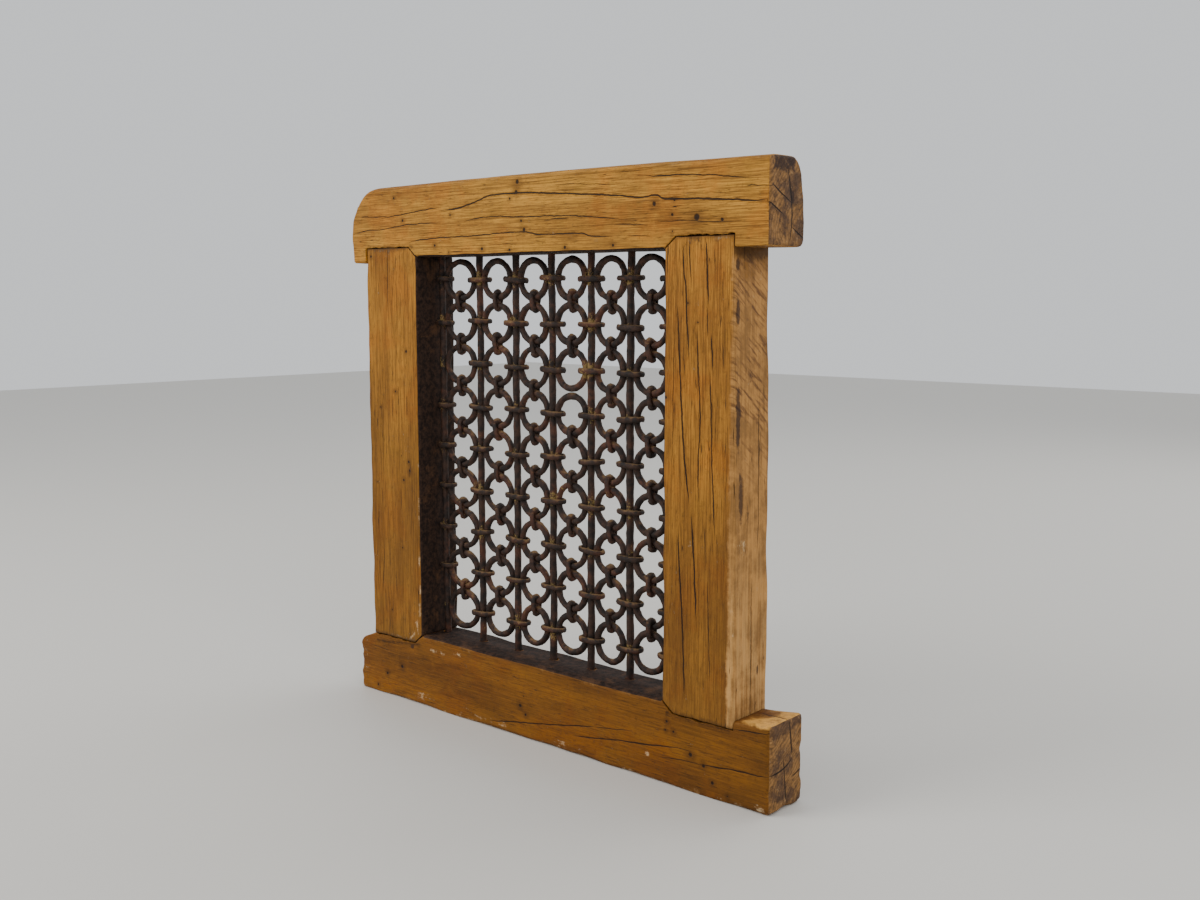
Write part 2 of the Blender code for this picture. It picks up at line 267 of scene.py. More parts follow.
class Baulk:
    """A squared timber as a fine net of points, which are shaped before they become a mesh.

    Its points have three places: along the grain, up the face and deep, each from 0. size and origin
    are in millimetres, and origin is where along and up start in the window.
    """

    def __init__(self, name, size, rows, origin, seed):
        self.name, self.size, self.origin, self.seed = name, np.array(size) * MM, origin, seed
        bm = bmesh.new()
        bmesh.ops.create_cube(bm, size=1)
        for axis, cuts in enumerate(rows):
            edges = [e for e in bm.edges if abs(e.verts[0].co[axis] - e.verts[1].co[axis]) > 0.5]
            bmesh.ops.subdivide_edges(bm, edges=edges, cuts=cuts - 1, use_grid_fill=True)
        self.mesh = bpy.data.meshes.new(name)
        bm.to_mesh(self.mesh)
        bm.free()
        flat = np.empty(3 * len(self.mesh.vertices))
        self.mesh.vertices.foreach_get("co", flat)
        share = flat.reshape(-1, 3) + 0.5
        # The points crowd towards the edges, where the roundings need them.
        crowding = np.array([0.6, 0.35, 0.55])
        share -= crowding * np.sin(2 * math.pi * share) / (2 * math.pi)
        self.square = share * self.size
        self.spots = self.square.copy()
        self.along_mm = self.square[:, 0] / MM + origin[0]
        self.up_mm = self.square[:, 1] / MM + origin[1]
        gaps = np.stack([self.square, self.size - self.square])
        self.edge_gap = np.sort(gaps.min(axis=0), axis=1)[:, 1]
        names = ("arris", "ends", "reveal", "grime_and_shade", "scuff", "black_stain_and_shade")
        self.marks = {name: np.zeros(len(share)) for name in names}
        self.marks["ends"] = (gaps[:, :, 0].min(axis=0) < 1e-6).astype(float)
        self.sink = np.zeros(len(share))

    def face(self, name):
        """The points on one face, and their places along and across it."""
        axis, low = {"end": (0, False), "under": (1, True), "top": (1, False), "front": (2, True)}[name]
        level = self.square[:, axis]
        others = [i for i in range(3) if i != axis]
        here = level < 1e-6 if low else level > self.size[axis] - 1e-6
        return here, self.square[:, others[0]], self.square[:, others[1]]

    def round_edges(self, axis_a, axis_b, radius_a, radius_b, flips):
        """Rounds the edges between two axes. A flip takes the far side of its axis."""
        for flip_a, flip_b in flips:
            a = self.size[axis_a] - self.spots[:, axis_a] if flip_a else self.spots[:, axis_a]
            b = self.size[axis_b] - self.spots[:, axis_b] if flip_b else self.spots[:, axis_b]
            a, b = round_corner(a, b, radius_a, radius_b)
            self.spots[:, axis_a] = self.size[axis_a] - a if flip_a else a
            self.spots[:, axis_b] = self.size[axis_b] - b if flip_b else b

    def wear(self, arris, corner):
        """Rounds the long edges to about arris and the edges of the ends to about corner."""
        every = [(False, False), (False, True), (True, False), (True, True)]
        uneven = 1 + 0.5 * ripple(self.square, (0.07, 0.3, 0.3), self.seed + 1)
        radius = arris * np.clip(uneven, 0.35, 2.0)
        uneven_end = 1 + 0.4 * ripple(self.square, (0.3, 0.03, 0.03), self.seed + 2)
        end_radius = corner * np.clip(uneven_end, 0.4, 1.8)
        self.round_edges(1, 2, radius, radius, every)
        self.round_edges(0, 1, end_radius, end_radius, every)
        self.round_edges(0, 2, end_radius, end_radius, every)
        self.marks["arris"] = nearness(self.edge_gap, 2.4 * arris)

    def split(self, width, path):
        """Opens a drying check on the front, along a path of places in the window."""
        on_face, along, across = self.face("front")
        path = (np.array(path) - np.array(self.origin)) * MM
        line = np.interp(along, path[:, 0], path[:, 1])
        taper = np.clip(np.minimum(along - path[0, 0], path[-1, 0] - along) / 0.03, 0, 1) ** 0.5
        away = np.clip(np.abs(across - line) / (1.6 * MM), 0, 1)
        self.sink = np.maximum(self.sink, (1 - away) ** 1.5 * taper * on_face * width * 0.45 * MM)

    def strengthen(self, mark, values):
        self.marks[mark] = np.maximum(self.marks[mark], values)

    def rub(self, mark, face, *patches):
        """Strengthens a mark in soft patches on one face.

        A patch is its place along and across, from the timber's start and foot, its reach along and
        across, all in millimetres, and its amount.
        """
        on_face, along, across = self.face(face)
        for along_mm, across_mm, reach_along, reach_across, amount in patches:
            far_along = (along / MM - along_mm) / reach_along
            far_across = (across / MM - across_mm) / reach_across
            soft = np.exp(-(far_along ** 2) - far_across ** 2)
            self.strengthen(mark, amount * soft * on_face)

    def soil_joints(self, level, *spans):
        """Adds grime at a level up the face, in spans along the timber, where the stiles are let in."""
        for start, end in spans:
            beside = between(self.along_mm, start, end, 4)
            self.strengthen("grime_and_shade", beside * nearness(np.abs(self.up_mm - level), 9) * 0.8)

    def finish(self, place, material):
        """Makes the piece. place turns along and up in the window and Y, in millimetres, to X, Y and Z."""
        along, up, deep = (self.spots / MM).T
        placed = place(along + self.origin[0], up + self.origin[1], deep + FRONT)
        points = np.stack(placed, axis=1) * MM
        self.mesh.vertices.foreach_set("co", points.ravel())
        face_outwards(self.mesh)
        normals = np.empty(3 * len(points))
        self.mesh.vertex_normals.foreach_get("vector", normals)
        swell = 0.5 + 0.5 * np.clip(ripple(self.square, (0.11, 0.026, 0.026), self.seed + 5, 16), -1, 1)
        fibre = 0.5 + 0.5 * np.clip(ripple(self.square, (0.06, 0.0042, 0.0042), self.seed + 6, 24), -1, 1)
        hewn = 0.6 * swell + 0.16 * fibre - 0.25
        points -= normals.reshape(-1, 3) * (self.sink + hewn * MM)[:, None]
        points = np.clip(points, *cad_bounds)
        self.mesh.vertices.foreach_set("co", points.ravel())
        return make_piece(self.name, self.mesh, self.marks, material)


def old_wood(name, grain, light, dark, pith, shift, figured, cracks, holes, shade=None, side=None,
             more=(), top=1):
    """Oiled old hardwood.

    grain names the axes along, up the face and deep, and pith is the heart of the log in up and deep.
    shift moves the grain along, so that no two timbers are alike, and figured is how far it shows.
    cracks are (width, path) and holes (x, z, radius) on the front face, all in millimetres, and more
    are (face, width, path), where the face top starts at top up.
    shade is (start, end, share): the wood darkens by that share from start to end along the grain.
    side is (place, paint, begin): past that place up the face, and from begin along the grain, the wood
    takes another paint. On a stile's outer side that paint is weathering. On the sill it is a painted
    highlight: the top of the right horn is painted lighter, as if lit from above.
    """
    finish = Finish(name)
    here = finish.node("TexCoord", output=3)
    split = finish.node("SeparateXYZ", None, {0: here}).socket.node
    along, up, deep = (Signal(finish, split.outputs[axis]) for axis in grain)

    def figure(run, cross, detail, moved, roughness=0.6):
        """Noise drawn out along the grain, run long and cross wide."""
        place = {0: along / run + (shift + moved), 1: up / cross + moved, 2: deep / cross}
        return finish.noise(finish.node("CombineXYZ", None, place), 1.0, detail, roughness)

    growth = 0.0040
    wander = figure(0.16, 0.05, 2.0, 3.1, 0.55)
    offset_up = up - pith[0]
    offset_deep = deep - pith[1]
    radius = (offset_up * offset_up + offset_deep * offset_deep) ** 0.5 + wander * 0.034
    turns = radius * (2 * math.pi / growth)
    rings = turns.math("SINE", turns) * 0.5 + 0.5
    broad = figure(0.22, 0.040, 4.0, 7.7)
    streak = figure(0.09, 0.0034, 4.0, 11.3, 0.62)
    lines = figure(0.15, 0.0021, 3.0, 53.0)
    fibre = figure(0.040, 0.0011, 4.0, 17.9, 0.66)
    pores = finish.fade(figure(0.014, 0.0011, 3.0, 61.0), 0.57, 0.66)
    mottle = finish.noise(here, 38.0, 6.0, 0.68)
    soot = finish.noise(here, 170.0, 5.0, 0.68)
    blush = finish.noise(here, 17.0, 5.0, 0.6)

    # The grain, from its broad bands to its pores, and a blush of red and of olive over it.
    deeper = times(dark, 0.40)
    color = finish.mix(finish.fade(broad * 0.7 + mottle * 0.3, 0.38, 0.62), dark, light)
    color = finish.mix(finish.fade(mottle, 0.50, 0.68) * 0.30, color, deeper)
    color = finish.mix(finish.fade(mottle, 0.46, 0.30) * 0.26, color, times(light, 1.5))
    color = finish.mix(rings ** 2 * finish.fade(streak, 0.35, 0.6) * (0.24 * figured), color, deeper)
    color = finish.mix(finish.fade(streak, 0.52, 0.66) * (0.34 * figured), color, deeper)
    color = finish.mix(finish.fade(lines, 0.54, 0.62) * (0.62 * figured), color, deeper)
    color = finish.mix(finish.fade(fibre, 0.48, 0.62) * (0.46 * figured + 0.12), color, deeper)
    pale_fibre = finish.fade(fibre, 0.48, 0.32) * (0.36 * figured + 0.10)
    color = finish.mix(pale_fibre, color, times(light, 1.45))
    color = finish.mix(pores * finish.fade(mottle, 0.36, 0.56) * 0.65, color, times(dark, 0.20))
    color = finish.mix(finish.fade(soot, 0.54, 0.68) * 0.34, color, deeper)
    red = finish.fade(blush, 0.48, 0.62) * 0.75
    color = finish.mix(red, color, (1.0, 0.85, 0.66), "MULTIPLY")
    olive = finish.fade(blush + mottle * 0.3, 0.60, 0.48) * 0.42
    color = finish.mix(olive, color, (0.80, 0.86, 0.74), "MULTIPLY")
    if shade:
        start, end, share = shade
        darker = finish.fade(along + (broad - 0.5) * 0.12, start, end) * share
        color = finish.mix(darker, color, times(dark, 0.30))

    # The weathered side, with slanting saw marks high up and pale dry streaks low down. On the sill this
    # paints a highlight instead: the top of its right horn is painted lighter, as if lit from above.
    if side:
        place, tint, begin = side
        weathering_and_highlight_mask = finish.fade(up + (mottle - 0.5) * 0.014 - along * 0.004, place - 0.0034, place + 0.0010)
        weathering_and_highlight_mask = weathering_and_highlight_mask * finish.fade(along, begin - 0.004, begin + 0.004)
        faded = finish.fade(streak * 0.3 + mottle * 0.7, 0.38, 0.60)
        weathering_and_highlight = finish.mix(faded, times(tint, 0.50), tint)
        weathering_and_highlight = finish.mix(finish.fade(fibre, 0.48, 0.66) * 0.45, weathering_and_highlight, times(tint, 0.36))
        slant = {0: (along * 0.8 + deep * 0.6) / 0.0042, 1: (deep * 0.8 - along * 0.6) / 0.034}
        strokes = finish.noise(finish.node("CombineXYZ", None, slant), 1.0, 4.0, 0.65)
        sawn = finish.fade(strokes, 0.46, 0.64) * finish.fade(along + mottle * 0.16, 0.38, 0.48)
        sawn = sawn * finish.fade(mottle + soot * 0.3, 0.50, 0.68)
        weathering_and_highlight = finish.mix(sawn * 0.85, weathering_and_highlight, paint(84, 54, 32))
        dry = finish.fade(along + (mottle - 0.5) * 0.24, 0.30, 0.10)
        dry = dry * finish.fade(streak * 0.5 + fibre * 0.2 + mottle * 0.3, 0.42, 0.58)
        weathering_and_highlight = finish.mix(dry * 0.48, weathering_and_highlight, paint(200, 158, 100))
        color = finish.mix(weathering_and_highlight_mask, color, weathering_and_highlight)

    # Worn arrises, scuffs, end grain, black stains, the old finish inside the opening and grime.
    # The stain and grime marks also hold painted shade under the head's right horn: on the horn's
    # underside and on the top of the right stile's outer side.
    worn = finish.fade(finish.mark("arris") * 0.34 + mottle * 0.9 + soot * 0.5, 0.98, 1.28)
    color = finish.mix(worn * 0.34, color, paint(214, 164, 96))
    worn_bits = (soot * 1.6 + fibre + mottle - 1.8) * 1.1
    scuff = finish.fade(finish.mark("scuff") * 0.62 + worn_bits, 0.34, 0.78)
    color = finish.mix(scuff * 0.58, color, paint(212, 184, 142))
    ends = finish.mark("ends")
    end_grain = finish.mix(finish.fade(mottle, 0.42, 0.60), paint(146, 105, 58), paint(92, 66, 44))
    end_grain = finish.mix(rings ** 2 * 0.45, end_grain, paint(68, 48, 32))
    end_grain = finish.mix(finish.fade(soot, 0.46, 0.66) * 0.62, end_grain, paint(50, 34, 26))
    end_grain = finish.mix(finish.fade(soot, 0.42, 0.30) * 0.40, end_grain, paint(184, 146, 98))
    color = finish.mix(finish.fade(ends + (soot - 0.5) * 0.6, 0.38, 0.62), color, end_grain)
    black_stain_and_shade = finish.mark("black_stain_and_shade") + (mottle - 0.5) * 1.1 + (soot - 0.5) * 0.7 + (streak - 0.5) * 0.5
    color = finish.mix(finish.fade(black_stain_and_shade, 0.40, 0.72) * 0.80, color, paint(40, 26, 24))
    reveal = finish.fade(finish.mark("reveal") + (mottle - 0.5) * 0.5 + (fibre - 0.5) * 0.4, 0.42, 0.58)
    old_paint = finish.mix(finish.fade(soot, 0.35, 0.65), paint(26, 16, 12), paint(58, 40, 30))
    old_paint = finish.mix(finish.fade(mottle, 0.54, 0.68) * 0.6, old_paint, paint(96, 66, 44))
    old_paint = finish.mix(finish.fade(streak, 0.55, 0.66) * 0.35, old_paint, paint(16, 10, 9))
    color = finish.mix(reveal, color, old_paint)
    grime_and_shade = finish.fade(finish.mark("grime_and_shade") + (mottle - 0.5) * 1.1 + (soot - 0.5) * 0.6, 0.40, 0.95)
    color = finish.mix(grime_and_shade * 0.84, color, times(dark, 0.24))

    # Hairlines all over, the cracks and the holes.
    wobble = (figure(0.012, 0.03, 3.0, 71.0) - 0.5) * 0.0022
    thick = 0.35 + figure(0.030, 0.02, 3.0, 83.0) * 1.3
    hair = figure(0.16, 0.0052, 2.0, 31.7, 0.5) - 0.5
    hairline = finish.fade(hair.math("ABSOLUTE", hair), 0.011, 0.003)
    here_and_there = finish.fade(figure(0.07, 0.012, 3.0, 91.0), 0.54, 0.60)
    gap = hairline * here_and_there * min(1, figured + 0.2)
    on_front = finish.fade(deep, -0.0252, -0.0274)
    on_top = finish.fade(up, top, top + 0.003)
    on_right_end = finish.fade(ends, 0.4, 0.9) * finish.fade(along, 0.25, 0.28)
    planes = {"front": (along, up, on_front), "top": (along, deep, on_top),
              "up end": (up, deep, on_right_end), "across end": (deep, up, on_right_end)}
    for plane, width, path in [("front", *crack) for crack in cracks] + list(more):
        run, level, on_plane = planes[plane]
        start, end = path[0][0] * MM, path[-1][0] * MM
        taper = min(0.025, (end - start) * 0.3)
        opened = finish.fade(run, start - 0.003, start + taper)
        opened = opened * finish.fade(run, end + 0.003, end - taper)
        half = thick * opened * (width * MM / 2)
        off = level - (finish.path(run, path) + wobble)
        crack = finish.fade(off.math("ABSOLUTE", off) - half, 0.00022, -0.00016)
        gap = gap.math("MAXIMUM", gap, crack * on_plane * finish.fade(opened, 0.0, 0.1))
    for x, z, size in holes:
        mouth = {0: here, 1: (x * MM, FRONT * MM, z * MM)}
        away = finish.node("VectorMath", {"operation": "DISTANCE"}, mouth, 1)
        bored = finish.fade(away + (soot - 0.5) * 0.0022, size * 1.3 * MM, size * 0.7 * MM)
        gap = gap.math("MAXIMUM", gap, bored)
        stained = finish.fade(away + (mottle - 0.5) * 0.010, size * 5.0 * MM, size * 1.2 * MM)
        color = finish.mix(stained * 0.48, color, deeper)
    color = finish.mix(gap * 0.93, color, paint(28, 16, 8))

    rough = 0.60 + fibre * 0.18 + reveal * 0.08 + soot * 0.06
    relief = fibre * 0.30 + streak * 0.40 - lines * 0.20 - pores * 0.25 + soot * 0.15
    relief = relief - gap * 1.6 - reveal * 0.2
    finish.cover(Base_Color=color, Roughness=rough, Normal=finish.bump(relief, 0.0008, 0.6))
    finish.cover(Specular_IOR_Level=0.20)
    return finish.material


def carve(piece, bm):
    """Cuts a closed bmesh out of a piece for good."""
    cutter = bpy.data.objects.new("cutter", bpy.data.meshes.new("cutter"))
    bmesh.ops.recalc_face_normals(bm, faces=bm.faces)
    bm.to_mesh(cutter.data)
    bm.free()
    bpy.context.scene.collection.objects.link(cutter)
    cut = piece.modifiers.new("cut", "BOOLEAN")
    cut.operation = "DIFFERENCE"
    cut.solver = "EXACT"
    cut.object = cutter
    graph = bpy.context.evaluated_depsgraph_get()
    mesh = bpy.data.meshes.new_from_object(piece.evaluated_get(graph))
    old = piece.data
    piece.modifiers.clear()
    piece.data = mesh
    bpy.data.meshes.remove(old)
    bpy.data.objects.remove(cutter, do_unlink=True)


def cut_joinery(piece, outer_z, floor_z, right_side):
    """Cuts the housings of both stiles and the sockets of the bars into the sill or the head.

    The housings run in from outer_z to floor_z, with chipped floors and sloping shoulders, and
    right_side is the outer side of the right one.
    """
    bm = bmesh.new()
    chips = np.random.default_rng(int(floor_z))
    deeper = math.copysign(1, floor_z - outer_z)
    past = outer_z - deeper * 20
    for outer, inner, shoulder in ((-289.7, -193.9, -208.2), (right_side, 183.1, 197.2)):
        floor_x = np.linspace(outer, shoulder, 16)
        floor_chips = floor_z + deeper * np.abs(chips.normal(0.5, 0.8, 16)).clip(0.1, 2.3)
        slope_x = np.linspace(shoulder, inner, 6)[1:]
        slope_chips = deeper * np.abs(chips.normal(0.3, 0.5, 5)).clip(0.1, 1.4)
        slope_z = np.linspace(floor_z, outer_z, 6)[1:] + slope_chips
        corners = list(zip(floor_x, floor_chips)) + list(zip(slope_x, slope_z))
        corners += [(inner, past), (outer, past)]
        front = [bm.verts.new((x * MM, -0.05, z * MM)) for x, z in corners]
        back = [bm.verts.new((x * MM, 0.05, z * MM)) for x, z in corners]
        bm.faces.new(front)
        bm.faces.new(back[::-1])
        for i in range(len(corners)):
            j = (i + 1) % len(corners)
            bm.faces.new((front[j], front[i], back[i], back[j]))
    carve(piece, bm)
    bm = bmesh.new()
    radius = BAR_RADIUS + SOCKET_GAP
    for x in bar_places:
        middle = Matrix.Translation((x, LATTICE_Y, outer_z * MM))
        bmesh.ops.create_cone(bm, cap_ends=True, segments=20, radius1=radius, radius2=radius,
                              depth=2 * SOCKET_DEPTH, matrix=middle)
    carve(piece, bm)


# Places in the window, in millimetres, and the sizes of the bars' sockets, in metres.
FRONT = -30
SILL_TOP, HEAD_FOOT = 89.4, 551.4
OPENING_LEFT, OPENING_RIGHT = -196, 185
BAR_RADIUS = 4.15 * MM
SOCKET_GAP = 0.8 * MM
SOCKET_DEPTH = 15.2 * MM
LATTICE_Y = 4.7 * MM
bar_places = [x * MM for x in (-186.95, -121.15, -60.85, -3.25, 55.15, 111.15, 169.95)]

sill = Baulk("sill_timber", (635.9, SILL_TOP, 58.5), (190, 88, 34), (-316.95, 0), 11)
sill.wear(0.0042, 0.0058)
sill_cracks = [
    (1.3, [(-79, 7.1), (-49, 13.1), (-7, 20.5), (33, 27.7), (62, 33.4), (94, 39.2)]),
    (1.3, [(58, 21.2), (91, 26.3), (136, 33.3), (154, 35.2), (180, 39.3), (208, 43.3)]),
    (1.4, [(232, 32.8), (249, 34), (270, 36.6), (287, 37.8), (304, 38.6), (318.2, 40.5)]),
    (0.7, [(180, 27), (206, 30.8), (238, 33)]),
    (0.6, [(88, 38.2), (109, 41.2), (144, 47)]),
    (0.5, [(204, 43), (222, 43.3)]),
    (1.0, [(277, 79.4), (298, 81.3), (316, 82.7)]),
]
for width, path in sill_cracks[:3]:
    sill.split(width, path)
below_top = SILL_TOP - sill.up_mm
sill.marks["reveal"] = between(sill.along_mm, OPENING_LEFT, OPENING_RIGHT, 3) * nearness(below_top, 2.6)
sill.marks["grime_and_shade"] = nearness(below_top, 16) * 0.38
sill.soil_joints(77, (-287, OPENING_LEFT), (OPENING_RIGHT, 274))
sill.marks["scuff"] = nearness(sill.up_mm, 9) * 0.42
sill.rub("scuff", "front", (142, 74, 10, 3, 0.85), (159, 73.4, 8, 3, 0.85), (185, 77, 12, 2.5, 0.8),
         (121, 12, 14, 7, 0.85), (196.5, 26.6, 4, 2.5, 0.95), (481.5, 27, 3.5, 3.5, 1.1),
         (460.5, 19, 5, 8, 0.6), (361, 9, 8, 4, 0.8), (250, 8, 30, 6, 0.7), (626, 4, 10, 7, 0.8),
         (8, 50, 7, 26, 0.6))
sill.rub("black_stain_and_shade", "front", (103, 74, 4, 3.5, 1.2), (53.5, 30, 9, 8, 0.38), (610, 9, 16, 5, 0.45))
sill.rub("scuff", "end", (4, 6, 12, 9, 0.9), (44, 30, 60, 50, 0.45))
sill.rub("black_stain_and_shade", "end", (78, 40, 14, 16, 0.45))


def sill_place(x, z, y):
    """Wears the left end down, and dips and lifts the right horn."""
    share = np.clip(z / SILL_TOP, 0, 1)
    drop = np.interp(x, [-317, -308.5, -297, -287, -270, -215, -200], [27.4, 20.8, 16.3, 12.1, 11, 3, 0])
    rise = np.interp(x, [262, 275, 319], [0, -2.6, 2.2])
    return x, y, z + rise * share ** 3 - drop * share ** 2


sill_wood = old_wood(
    "sill_wood", "XZY", paint(138, 87, 18), paint(100, 60, 10), (-0.03, 0.06), 2.0, 0.38, sill_cracks,
    [(221.7, 39.6, 2.2), (238.5, 32.1, 1.8), (249.7, 17.2, 1.6), (268.2, 7.9, 0.9), (-234.4, 42.1, 2.2),
     (-263.4, 27.9, 1.6), (-282.9, 9, 1.4), (-24, 37.8, 1.8), (-15.4, 28.7, 1.5), (190.4, 67.9, 1.3),
     (188.6, 58.3, 1.0), (199.2, 58.9, 1.2), (-18.9, 49.8, 0.7)],
    # The side tint here is a painted highlight: the top of the right horn is painted lighter, as if lit from
    # above.
    shade=(-0.26, -0.10, 0.20), side=(0.0886, paint(212, 156, 74), 0.268),
    more=[("up end", 1.8, [(3, 1.9), (17, -1.9), (32, -4), (45, -6), (57, -7.2)]),
          ("up end", 2.3, [(52, 8.6), (56, 7.6), (70, 5.8), (79, 4.4), (90, 1.6)]),
          ("across end", 1.9, [(-30, 41), (-8.4, 42.9), (4.6, 47.7), (11.1, 52.5)]),
          ("across end", 1.5, [(8.5, 30.4), (27, 35.6)]),
          ("top", 1.7, [(282, 8.3), (302, 3.8), (318, 1.2)])],
    top=0.084,
)
sill_piece = sill.finish(sill_place, sill_wood)
cut_joinery(sill_piece, SILL_TOP, 77.6, 274.4)
set_in_window(sill_piece, "timber", "sill")


# The head, the top timber: more golden, with a long drying check along the middle of its face, its
# left end rounded down to a drooping horn and its right end showing dark end grain. Its back rounds
# over, and its underside keeps the dark finish inside the opening.
HEAD_LENGTH, HEAD_HEIGHT, HEAD_LEFT = 626.9, 87.0, -318.95
head = Baulk("head_timber", (HEAD_LENGTH, HEAD_HEIGHT, 60.0), (190, 90, 38), (HEAD_LEFT, HEAD_FOOT), 31)
head.wear(0.0030, 0.0030)
head_cracks = [
    (1.2, [(-259, 598.7), (-231, 600.9), (-183, 605.2), (-148, 607.3)]),
    (1.7, [(-150, 603.7), (-132, 604), (-103, 607.8), (-81, 612.8), (-59, 617), (-24, 617.1), (37, 613.3),
           (84, 609.8), (129, 605.9), (160, 603.2), (171, 604.6), (182, 600.6), (234, 597.9), (307, 591.7)]),
    (1.1, [(-316, 579.4), (-283, 585), (-261, 585.4), (-199, 589.7), (-148, 588.6)]),
    (1.1, [(-110, 586.6), (-77, 592.7), (-60, 593.1), (-25, 591), (46, 589.5), (84, 587), (130, 582)]),
    (1.2, [(-208, 568), (-152, 572.3), (-81, 573.2), (-46, 574.5), (-15, 574.5), (12, 571), (70, 570.5),
           (84, 567), (116, 565.4)]),
    (0.6, [(136, 566), (164, 564.5)]),
    (1.2, [(158, 624.2), (171, 623), (204, 622.7), (226, 621.1), (286, 614.3)]),
    (0.7, [(283, 608.5), (309, 605.8)]),
    (0.6, [(61, 621.8), (118, 617.9)]),
    (0.8, [(118, 577.5), (145, 576.9), (161, 575.2)]),
    (0.6, [(171, 577.2), (194, 578.3), (235, 576.1), (268, 575.1)]),
]
for width, path in head_cracks[:2]:
    head.split(width, path)
above_foot = head.up_mm - HEAD_FOOT
below_top = HEAD_FOOT + HEAD_HEIGHT - head.up_mm
head.marks["reveal"] = between(head.along_mm, OPENING_LEFT, OPENING_RIGHT, 3) * nearness(above_foot, 2.4)
head.marks["grime_and_shade"] = np.maximum(nearness(above_foot, 9) * 0.42, nearness(below_top, 4) * 0.30)
head.soil_joints(564, (-290, OPENING_LEFT), (OPENING_RIGHT, 270))
head.rub("black_stain_and_shade", "end", (80, 22, 16, 30, 0.8), (50, 38, 20, 5, 0.6))
# Painted shade: the underside of the right horn, which lies in shadow, is painted dark.
head.rub("black_stain_and_shade", "under", (607, 20, 26, 60, 0.6))
head.rub("scuff", "end", (22, 4, 20, 3, 0.6))
# The upper back and the upper left corner are rounded, like the log that they were.
head.round_edges(1, 2, 62 * MM, 20 * MM, [(True, True)])
head.round_edges(0, 1, 50 * MM, 64 * MM, [(False, True)])


def head_place(x, z, y):
    """Crowns the top, drops the left horn, tucks in its end and rounds the back over."""
    share = np.clip((z - HEAD_FOOT) / HEAD_HEIGHT, 0, 1)
    off_middle = (x - HEAD_LEFT - HEAD_LENGTH / 2) / 313
    crown = 2.2 * off_middle ** 2 + 3.4 * np.clip((-16 - y) / 14, 0, 1) ** 1.7
    horn = 6.0 * np.clip((-286.95 - x) / 6, 0, 1) * (1 - share) ** 2
    tuck = 5.0 * nearness(x - HEAD_LEFT, 30) * (1 - share) ** 3
    foot = 6.0 * nearness(z - HEAD_FOOT, 8) ** 2 * np.clip((y - FRONT) / 60, 0, 1) ** 3
    return x + tuck, y - foot, z - crown * share - horn


head_wood = old_wood(
    "head_wood", "XZY", paint(190, 136, 52), paint(146, 97, 32), (0.56, 0.05), 9.0, 0.78, head_cracks,
    [(-22.6, 628.9, 2.4), (-24.5, 617.6, 2.2), (-17, 586.7, 1.4), (-12.7, 576.8, 2.0), (-218, 594.6, 1.6),
     (-132.7, 597.8, 1.1), (-34.8, 611.5, 1.3), (-160.3, 563.6, 1.4), (-136.2, 555.4, 1.1),
     (-79.8, 557.8, 1.8), (-35.5, 555.5, 1.4), (-233.6, 621.8, 1.2), (223.6, 580.8, 3.2),
     (253.9, 577.5, 1.6), (193.3, 584.4, 1.4), (170.3, 596, 2.2), (195.9, 598.4, 1.2), (48.5, 556.2, 1.8),
     (116.2, 556.7, 1.4), (193.5, 568.3, 0.9)],
    more=[("up end", 2.1, [(553, 0), (575, 7.4), (598, 6), (629, -4)]),
          ("across end", 1.9, [(-25.2, 608), (6, 592)]), ("across end", 1.8, [(-30, 592.4), (-8.2, 581.4)]),
          ("across end", 1.8, [(8.8, 569), (28.6, 559.3)])],
)
head_piece = head.finish(head_place, head_wood)
cut_joinery(head_piece, HEAD_FOOT, 563.2, 269.4)
set_in_window(head_piece, "timber", "head")


# The left stile: an upright of the same wood, let into shallow housings in the head and the sill.
# Its face is golden at the top and darker below, and its inner side keeps the dark finish.
STILE_FOOT, STILE_TOP = 77.9, 562.9
SHOULDER_HEIGHT, SHOULDER_REACH = 11.5, 14


def upright(name, left, width, inward, spread, seed, cracks):
    """A stile, whose inner side lies towards +X where inward is 1, and the way its points are placed."""
    length = STILE_TOP - STILE_FOOT
    stile = Baulk(name, (length, width, 59.8), (200, 92, 36), (STILE_FOOT, left), seed)
    stile.wear(0.0036, 0.0014)
    for crack_width, path in cracks:
        stile.split(crack_width, path)
    from_inner = (left + width - stile.up_mm) if inward > 0 else (stile.up_mm - left)
    to_end = np.minimum(stile.along_mm - STILE_FOOT, STILE_TOP - stile.along_mm)
    stile.marks["reveal"] = nearness(from_inner, 2.4)
    stile.marks["grime_and_shade"] = np.maximum(nearness(from_inner, 7) * 0.36, nearness(to_end, 15) ** 1.5 * 0.9)

    def place(z, x, y):
        """Spreads the outer side to its foot and slopes the inner side's ends to the shoulders."""
        outward = np.clip(((left + width - x) if inward > 0 else (x - left)) / width, 0, 1)
        off_middle = (2 * z - SILL_TOP - HEAD_FOOT) / (HEAD_FOOT - SILL_TOP)
        bulge = np.clip(1 - off_middle ** 2, 0, 1) * 1.2
        arc = (bulge + nearness(z - STILE_FOOT, length) * spread) * outward
        over = (np.clip((SILL_TOP - z) / SHOULDER_HEIGHT, 0, 1)
                + np.clip((z - HEAD_FOOT) / SHOULDER_HEIGHT, 0, 1))
        slope = SHOULDER_REACH * over * (1 - outward)
        return x - inward * (arc + slope), y, z

    return stile, place


